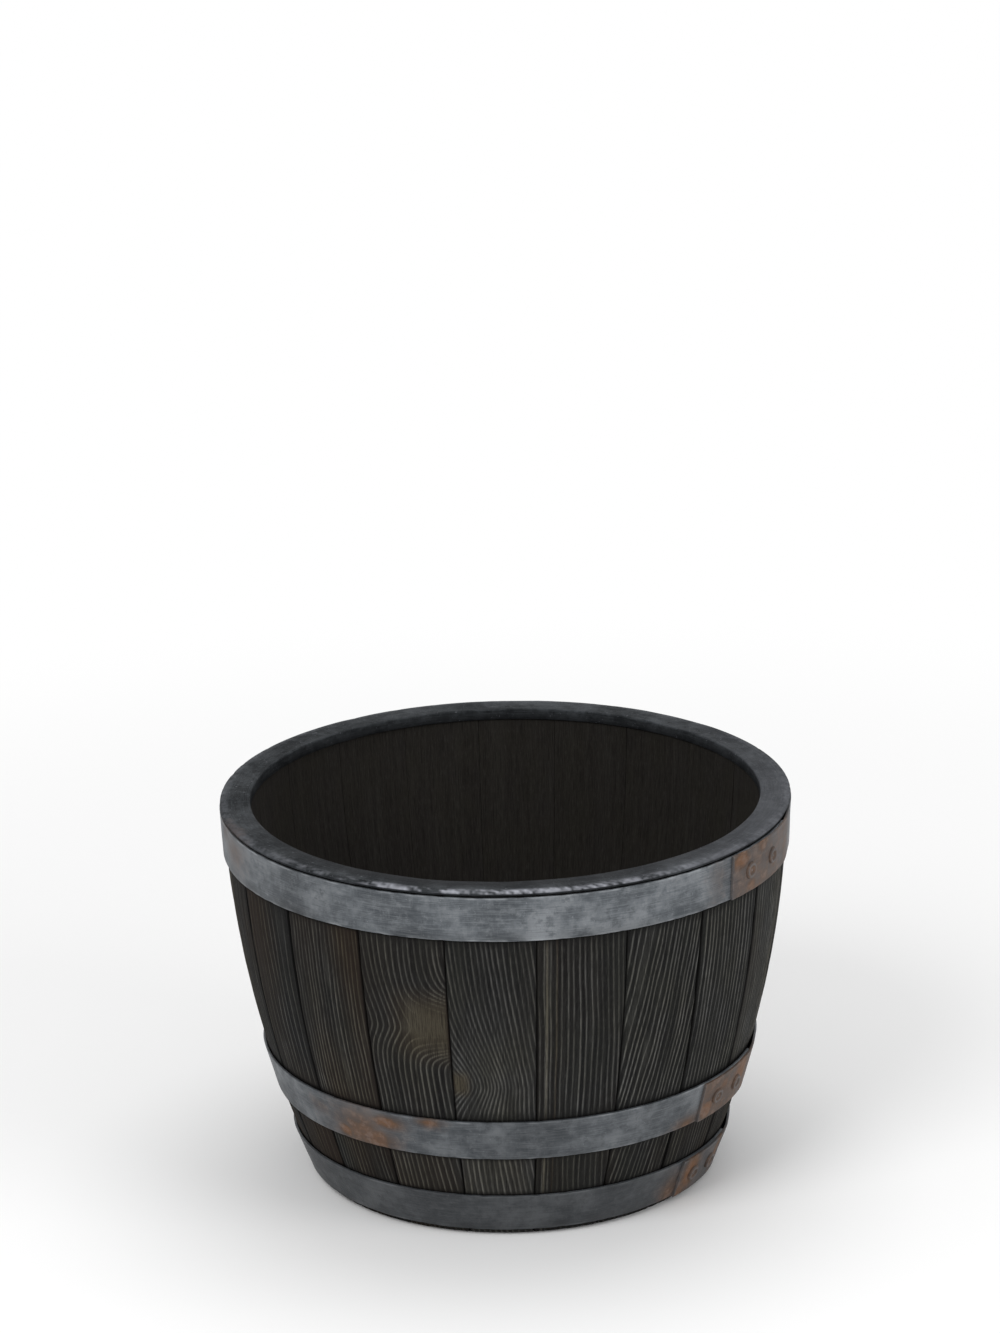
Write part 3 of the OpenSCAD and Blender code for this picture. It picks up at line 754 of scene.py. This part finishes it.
def hoop(name, seed):
    """A hoop: the rounded section of the strip, carried once round the cone and over its own start.

    The layer is 1 over the lap, eases down the joggle and is 0 the rest of the way, so the two ends overlap.
    It moves the section out by one thickness. With the strip tilted as the barrel leans, a point's radius is
    the low radius plus (up the face) * sine plus (out of it) * cosine, and its height is the low edge plus
    (up the face) * cosine minus (out of it) * sine.
    """
    low, high = levels(name)
    low_edge = low + 2 * HOOP_T * math.sin(float(lean((low + high) / 2)))
    middle = low_edge + HOOP_W * math.cos(lean(low_edge + HALF_UP)) / 2
    tilt = float(lean(middle))
    low_r = float(face_r(low_edge)) + HOOP_CLEAR + HOOP_W ** 2 / (8 * BOW_R)
    turn = np.arange(0, 360 + LAP_ANGLE + 0.01, (360 + LAP_ANGLE) / HOOP_STEPS)[:, None]
    climb = JOGGLE_ANGLE * JOGGLE_R / (low_r + WIDENS)
    layer = 1 - smoothstep(LAP_ANGLE - 1.0, LAP_ANGLE + climb, turn)
    direction = LAP_FROM + turn
    arc_mm = np.radians(turn) * low_r
    section = strip_section()
    along, out = section[None, :, 0], section[None, :, 1]

    # Hammer marks and dents are pressed in, away from the two ends, and the edges waver a little
    skin = smoothstep(0.9, 1.0, out / HOOP_T)
    dents = HAMMER_MARKS * np.clip(waves(seed, (30, 24), 18)(arc_mm, along), 0, 2)
    dents = dents + SMALL_DENTS * np.abs(waves(seed + 1, (9, 8), 18)(arc_mm, along))
    nicks = EDGE_NICKS * np.clip(waves(seed + 2, (7, 300), 18)(arc_mm, along), 0, 2)
    to_edge = np.minimum(along, HOOP_W - along)
    inside = smoothstep(0, 1, np.minimum(turn, turn[-1] - turn))
    out = out + layer * (HOOP_T + LAYER_GAP) - skin * dents * inside
    along = along + np.where(along < HOOP_W / 2, 1, -1) * nicks * bump_at(to_edge, 0, NICKED_W)
    radius = low_r + along * math.sin(tilt) + out * math.cos(tilt)
    height = low_edge + along * math.cos(tilt) - out * math.sin(tilt)
    loop = polar(direction, radius, height)
    rows, columns = loop.shape[:2]

    # The ends are closed by fans round the middle of the strip's section
    middle_out = HOOP_T / 2 + layer[[0, -1], 0] * (HOOP_T + LAYER_GAP)
    hubs = polar(direction[[0, -1], 0], low_r + HOOP_W / 2 * math.sin(tilt) + middle_out * math.cos(tilt),
                 low_edge + HOOP_W / 2 * math.cos(tilt) - middle_out * math.sin(tilt))
    points = np.concatenate([loop.reshape(-1, 3), hubs])
    quads, triangles = tube_faces(rows, columns, True)

    # UV: distance round the hoop by distance round the section
    v = np.broadcast_to(run_round(section)[None, :], (rows, columns + 1))
    u = np.broadcast_to(arc_mm, v.shape) + HOOP_SHIFT * seed
    ends = np.concatenate([section, [[HOOP_W / 2, HOOP_T / 2]]])
    place = np.where(triangles < rows * columns, triangles % columns, columns).ravel()
    uv = np.concatenate([sheet_uv(u, v, True), ends[place][:, ::-1] + HOOP_SHIFT * seed])

    # Paint: rust, then rubbed edges and the pale dust on the lap, then mud with painted shade, a darkening
    # low on the strip, and painted shade on the strip's edges and behind it. The strip's end is rusty and
    # clean
    paint = np.zeros((len(points), 3))
    grid = paint[:-2].reshape(rows, columns, 3)
    share = np.broadcast_to(section[None, :, 0] / HOOP_W, loop.shape[:2])
    outer_lap = 1 - smoothstep(LAP_ANGLE, LAP_ANGLE + 14, turn)
    grid[..., RUSTY] = hoop_rust(name, seed, direction, share, outer_lap)
    worn = bump_at(to_edge, 0, 1.4) * np.clip(0.3 + 0.6 * waves(seed + 4, (10, 300))(arc_mm, share), 0, 1)
    dusty = 0.3 * bump_at(direction, 69, 5) * outer_lap
    grid[..., RUBBED_AND_SHEEN] = np.maximum(0.6 * worn, dusty) * skin
    uneven = np.clip(0.7 + 0.5 * waves(seed + 5, (25, 300))(arc_mm, share), 0, 1)
    low_darkening = 0.45 * bump_at(share, 0, 0.22) * uneven
    # Mud and painted shade together, strongest on the bottom hoop
    mud_and_shade = MUD_AND_SHADE[name] * (0.8 + 0.5 * low_darkening)
    # Painted shade on the edges and on the back of the strip, which faces the staves
    grime_and_shade = np.maximum(mud_and_shade, np.maximum(low_darkening * skin, 0.3 * (1 - skin)))
    centre, reach, amount = DULL[name]
    grime_and_shade = grime_and_shade + amount * bump_at(from_front(direction), centre, reach)
    grid[..., GRIME_AND_SHADE] = np.where(out < HOOP_T * 0.6, 0.8, grime_and_shade)
    grid[0, :, RUSTY] = 0.55
    grid[0, :, GRIME_AND_SHADE] = 0.1
    paint[-2] = grid[0, 0]
    make_piece(name.capitalize(), points, quads, triangles, uv, paint, STEEL, "hoop_steel", name)
    return low_edge, low_r, tilt


# Section of a rivet as (distance from its axis, height over the strip): nub, dish, ring, shank and tail
RIVET_PROFILE = np.array([
    [0, 1.35], [0.8, 1.35], [1.4, 1.2], [1.9, 0.95], [2.6, 0.9], [3.4, 1.15], [4.1, 1.7], [4.7, 2.12],
    [5.2, 2.3], [5.7, 2.3], [6.2, 2.1], [6.65, 1.7], [7.0, 1.1], [7.2, 0.5], [7.25, -0.1], [3.0, -0.15],
    [3.0, -4.4], [0, -4.4]])
RIVET_TURN = 7.5
RIVET_AIR = 0.05
# Columns of a rivet's grid, and its paint: where, which and how much
WHOLE, NUB, DISH, RING, HEAD_FOOT = slice(None), slice(0, 1), slice(2, 5), slice(6, 10), slice(12, 14)
# The ring is worn pale and painted as a highlight too, the dish is painted darker, and the foot of the head
# is painted darker as shade where it meets the strip
RIVET_PAINT = [(WHOLE, RUSTY, 0.75), (NUB, RUBBED_AND_SHEEN, 0.25), (RING, RUSTY, 0.62), (RING, RUBBED_AND_SHEEN, 0.2),
               (DISH, GRIME_AND_SHADE, 0.6), (HEAD_FOOT, GRIME_AND_SHADE, 0.8)]


def rivets(name, low_edge, low_r, tilt, seed):
    """Two rivets: a worn button head with a dish and a nub, turned about an axis square to the strip.

    The radius wavers in two and in five waves round the head, and the height in three.
    """
    turn = np.radians(np.arange(0, 360, RIVET_TURN))
    middle = np.array([low_r + math.sin(tilt) * HOOP_W / 2, low_edge + math.cos(tilt) * HOOP_W / 2])
    parts = []
    for number in (0, 1):
        wobble = 1 + 0.025 * np.sin(turn * 2 + seed + number) + 0.015 * np.sin(turn * 5 + 2 * seed)
        r = RIVET_PROFILE[1:-1, 0][None, :] * wobble[:, None]
        h = RIVET_PROFILE[1:-1, 1][None, :] - 0.08 * np.sin(turn * 3 + seed)[:, None]
        local = np.stack([h, r * np.cos(turn)[:, None], r * np.sin(turn)[:, None]], axis=-1)
        hubs = np.array([[RIVET_PROFILE[0, 1], 0, 0], [RIVET_PROFILE[-1, 1], 0, 0]])
        local = np.concatenate([local.reshape(-1, 3), hubs])
        out = local[:, 0] + 2 * HOOP_T + RIVET_AIR
        radial = middle[0] + out * math.cos(tilt) + local[:, 2] * math.sin(tilt)
        z = middle[1] - out * math.sin(tilt) + local[:, 2] * math.cos(tilt)
        a = math.radians(LAP_FROM + RIVET_INSET + number * RIVET_STEP)
        x = radial * math.sin(a) + local[:, 1] * math.cos(a)
        y = -radial * math.cos(a) + local[:, 1] * math.sin(a)
        parts.append(np.stack([x, y, z], axis=-1))
    rows, columns = len(turn), len(RIVET_PROFILE) - 2
    one = sheet_faces(rows, columns, wrap_rows=True)
    inner = np.arange(rows) * columns
    caps = end_fans(inner, inner + columns - 1, rows * columns)
    size = rows * columns + 2
    quads = np.concatenate([one, one + size])
    triangles = np.concatenate([caps, caps + size])
    points = np.concatenate(parts)
    corner_of = np.concatenate([quads.ravel(), triangles.ravel()])
    uv = points[corner_of][:, [0, 2]] + RIVET_SHIFT * seed
    paint = np.zeros((len(points), 3))
    for start in (0, size):
        grid = paint[start:start + size - 2].reshape(rows, columns, 3)
        for where, which, amount in RIVET_PAINT:
            grid[:, where, which] = amount
    make_piece(name.capitalize() + "_rivets", points, quads, triangles, uv, paint, STEEL,
               "rivet_steel", name + "_rivets")


# Rim ring

# Grid: degrees of one step, and points over the top and up the lip
RING_TURN = 0.5
TOP_POINTS = 26
LIP_POINTS = 15
# How far the flat top lies under the CAD's, the rounding of the inner edge and of the skirt's corners, and
# how far down the inner wall an extra row lies
TOP_SINK = 0.08
INNER_ROUND = 1.4
SKIRT_ROUND = 0.5
INNER_WALL = 6
# How far the lip lies inside the CAD's, its crown and the rounding of its upper and lower corner
LIP_INSET = 0.1
LIP_CROWN = 0.5
LIP_CORNERS = (1.2, 0.5)
# Middle and half width of the flat top
TOP_MIDDLE, TOP_HALF_W = 235, 14
# Depth of the soft sags, of the crown's fall to both edges and to the outer one, and of the lip's chips
SAG = 0.22
CROWN = 0.2
OUTER_CROWN = 0.6
CHIPS = 0.35
# Radius at which the ring's pattern is true to size
PATTERN_R = 240


def rim_ring():
    """The band over the stave ends: its section turned about the axis, with a waver and small dents.

    The section runs up the crowned lip, in over the top, down the skirt and out again under the band. The
    top is lowered by soft sags and by the crown, which falls with the square of the distance from its
    middle, and the lip's radius is cut back by chips.
    """
    low, high = levels("rim_ring")
    outer_r = PER_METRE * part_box("rim_ring")[1][0]
    top = high - TOP_SINK
    under = STAVE_H + RING_CLEAR
    skirt_r = float(face_r(STAVE_H - SKIRT_H, STAVE_T)) - RING_CLEAR
    inner_r = skirt_r - SKIRT_T
    thick = top - under
    rise = np.sin(np.radians(np.linspace(-90, 90, LIP_POINTS)))
    lip_r = outer_r - LIP_INSET - LIP_CROWN * rise ** 2 - np.where(rise > 0, *LIP_CORNERS) * rise ** 6
    lip_z = under + thick / 2 + thick / 2 * rise
    top_r = np.linspace(lip_r[-1] - 0.5, inner_r + 1.6, TOP_POINTS)
    roll = np.radians(np.linspace(90, 180, 6))
    profile = np.concatenate([
        np.stack([lip_r, lip_z], axis=1),
        np.stack([top_r, np.full(TOP_POINTS, top)], axis=1),
        np.stack([inner_r + INNER_ROUND + INNER_ROUND * np.cos(roll),
                  top - INNER_ROUND + INNER_ROUND * np.sin(roll)], axis=1),
        [[inner_r, top - INNER_WALL], [inner_r, low + SKIRT_ROUND], [inner_r + SKIRT_ROUND, low],
         [skirt_r - SKIRT_ROUND, low], [skirt_r, low + SKIRT_ROUND], [skirt_r, under - SKIRT_ROUND],
         [skirt_r + SKIRT_ROUND, under]],
    ])
    turn = np.arange(0, 360, RING_TURN)[:, None]
    r, z = profile[None, :, 0], profile[None, :, 1]
    upper = smoothstep(under + 1.5, top, z)
    round_x, round_y = np.sin(np.radians(turn)) * r, np.cos(np.radians(turn)) * r

    def field(offset, scale, count=14):
        """A soft field over the ring as seen from above."""
        return waves(RING_SEED + offset, (scale, scale), count)(round_x, round_y)

    sag = SAG * np.clip(field(0, 34, 18), 0, 2) * upper
    crown = CROWN * ((r - TOP_MIDDLE) / TOP_HALF_W) ** 2 + OUTER_CROWN * smoothstep(243, 249.5, r) ** 2
    crown = crown * upper
    chips = CHIPS * np.clip(field(1, 9, 18) - 0.9, 0, 2) * bump_at(r, outer_r, 3)
    points = polar(turn, r - chips, z - sag - crown)
    rows, columns = points.shape[:2]
    quads = sheet_faces(rows, columns, wrap_rows=True, wrap_columns=True)[:, ::-1]
    v = np.broadcast_to(run_round(profile)[None, :], (rows + 1, columns + 1))
    u = np.broadcast_to(np.radians(np.arange(0, 360.01, RING_TURN))[:, None] * PATTERN_R, v.shape)

    # Paint: a little rust at the left, a painted highlight on the outer corner in broken spots, mostly at
    # the front, the top paler at the right, and painted shade inside towards the front, on the lip's side
    # below the corner and underneath
    paint = np.zeros((rows, columns, 3))
    round_it = from_front(turn)
    breaks = 0.17 * field(2, 3.4, 18) + 0.17 * field(3, 28)
    front = bump_at(round_it, -2, 30)
    # Painted highlight on the lip's outer corner, in broken spots and strongest at the front
    corner = smoothstep(240.5, 247, r) * smoothstep(top - 2.6, top - 1.2, z)
    paint[..., RUBBED_AND_SHEEN] = corner * np.clip(0.06 + 0.22 * front + (0.16 + 1.2 * front) * breaks, 0, 0.85)
    paint[..., RUBBED_AND_SHEEN] += 0.1 * bump_at(round_it, 75, 42) * upper
    paint[..., RUSTY] = 0.4 * bump_at(round_it, -70, 7) * bump_at(r, outer_r, 8)
    # Painted shade inside at the front, on the lip's side below the corner and underneath
    inner_shade = 0.95 * bump_at(round_it, -12, 58) * smoothstep(243, 231, r)
    lip_side_shade = (0.1 + 0.6 * front) * smoothstep(top - 1.4, top - 2.6, z) * smoothstep(240, 244, r)
    paint[..., GRIME_AND_SHADE] = np.where(z < under + 0.1, 0.6, np.maximum(inner_shade, lip_side_shade))
    make_piece("Rim_ring", points.reshape(-1, 3), quads, np.zeros((0, 3), dtype=int), sheet_uv(u, v, True),
               paint.reshape(-1, 3), RIM_STEEL, "rim_steel", "rim_ring")


for number in range(1, STAVE_COUNT + 1):
    stave(number)
for name, seed in HOOP_SEEDS.items():
    rivets(name, *hoop(name, seed), seed)
rim_ring()
for name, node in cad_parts.items():
    if name.startswith("head_"):
        node.data.materials.clear()
        node.data.materials.append(DOWEL_WOOD if name == "head_dowels" else HEAD_WOOD)

# Camera, at the height, distance and roll from which the photograph was taken

CAMERA_DOWN = 18.27
CAMERA_AWAY = 4344.6
CAMERA_AIM = 458.2
CAMERA_ROLL = -1.2
CAMERA_SIDE = -2.2
LENS = 135.0
SENSOR_W = 36

down, roll = math.radians(CAMERA_DOWN), math.radians(CAMERA_ROLL)
right = np.array([1, 0, 0])
above = np.array([0, math.sin(down), math.cos(down)])
camera_x = math.cos(roll) * right + math.sin(roll) * above
camera_y = -math.sin(roll) * right + math.cos(roll) * above
camera_z = np.cross(camera_x, camera_y)
camera = bpy.data.objects.new("Camera", bpy.data.cameras.new("Camera"))
bpy.context.scene.collection.objects.link(camera)
place = np.array([CAMERA_SIDE, 0, CAMERA_AIM]) * MM + camera_z * CAMERA_AWAY * MM
pose = np.eye(4)
pose[:3, 0], pose[:3, 1], pose[:3, 2], pose[:3, 3] = camera_x, camera_y, camera_z, place
camera.matrix_world = mathutils.Matrix(pose.tolist())
camera.data.lens = LENS
camera.data.sensor_width = SENSOR_W
camera.data.clip_end = 100
bpy.context.scene.camera = camera

# Pale floor, white surroundings and soft lamps, in metres

FLOOR_REACH = 40.0
# Distances from the planter between which the floor fades to plain white
FLOOR_FADE = (0.5, 1.6)
WORLD_LIGHT = 0.55
# Lamps: name, place, width and power, and the height at which they are aimed
LAMPS = (
    ("Key", (-1.6, -2.2, 2.6), 1.8, 52),
    ("Fill", (2.4, -1.6, 1.5), 1.8, 26),
    ("Top", (0.2, 0.6, 3.0), 2.0, 26),
)
LAMP_AIM = 0.17


def studio():
    """A wide pale floor under a white world, a large soft lamp above the camera's left and two fills."""
    floor = bpy.data.meshes.new("Floor")
    corners = [(x * FLOOR_REACH, y * FLOOR_REACH, 0) for x, y in ((-1, -1), (1, -1), (1, 1), (-1, 1))]
    floor.from_pydata(corners, [], [(0, 1, 2, 3)])
    floor_object = bpy.data.objects.new("Floor", floor)
    bpy.context.scene.collection.objects.link(floor_object)
    material, tree, shader = new_material("Pale floor")
    shader.inputs["Base Color"].default_value = linear("#f4f4f4")
    shader.inputs["Roughness"].default_value = 0.9
    shader.inputs["Specular IOR Level"].default_value = 0.1
    away = add(tree, "VectorMath", {0: add(tree, "TexCoord").outputs["Object"]}, operation="LENGTH")
    near, far = FLOOR_FADE
    plain = add(tree, "MapRange", {"Value": away, "From Min": near, "From Max": far},
                interpolation_type="SMOOTHSTEP")
    seen = add(tree, "LightPath").outputs["Is Camera Ray"]
    plain = add(tree, "Math", {0: plain, 1: seen}, operation="MULTIPLY")
    glow = add(tree, "Emission", {"Color": "#ffffff", "Strength": 1.0})
    mixed = add(tree, "MixShader", {0: plain, 1: shader, 2: glow})
    tree.links.new(mixed.outputs[0], tree.nodes["Material Output"].inputs["Surface"])
    floor.materials.append(material)

    # The world is plain white to the camera and in reflections, and lights the planter less
    world = bpy.data.worlds.new("Studio")
    bpy.context.scene.world = world
    world.use_nodes = True
    tree = world.node_tree
    tree.nodes.clear()
    path = add(tree, "LightPath")
    seen = path.outputs["Is Camera Ray"]
    for ray in ("Is Glossy Ray", "Is Transmission Ray"):
        seen = add(tree, "Math", {0: seen, 1: path.outputs[ray]}, operation="MAXIMUM")
    plain = add(tree, "Background", {"Color": "#ffffff", "Strength": WORLD_LIGHT})
    white = add(tree, "Background", {"Color": "#ffffff", "Strength": 1.0})
    mixed = add(tree, "MixShader", {0: seen, 1: plain, 2: white})
    add(tree, "OutputWorld", {"Surface": mixed})

    for name, spot, size, power in LAMPS:
        lamp = bpy.data.lights.new(name, "AREA")
        lamp.shape = "DISK"
        lamp.size = size
        lamp.energy = power
        lamp_object = bpy.data.objects.new(name, lamp)
        lamp_object.location = spot
        aim = np.array([0, 0, LAMP_AIM]) - np.array(spot)
        lamp_object.rotation_euler = (
            math.atan2(math.hypot(aim[0], aim[1]), -aim[2]), 0, math.atan2(aim[1], aim[0]) - math.pi / 2)
        bpy.context.scene.collection.objects.link(lamp_object)
    bpy.context.scene.view_settings.view_transform = "Standard"


studio()
bpy.context.view_layer.update()
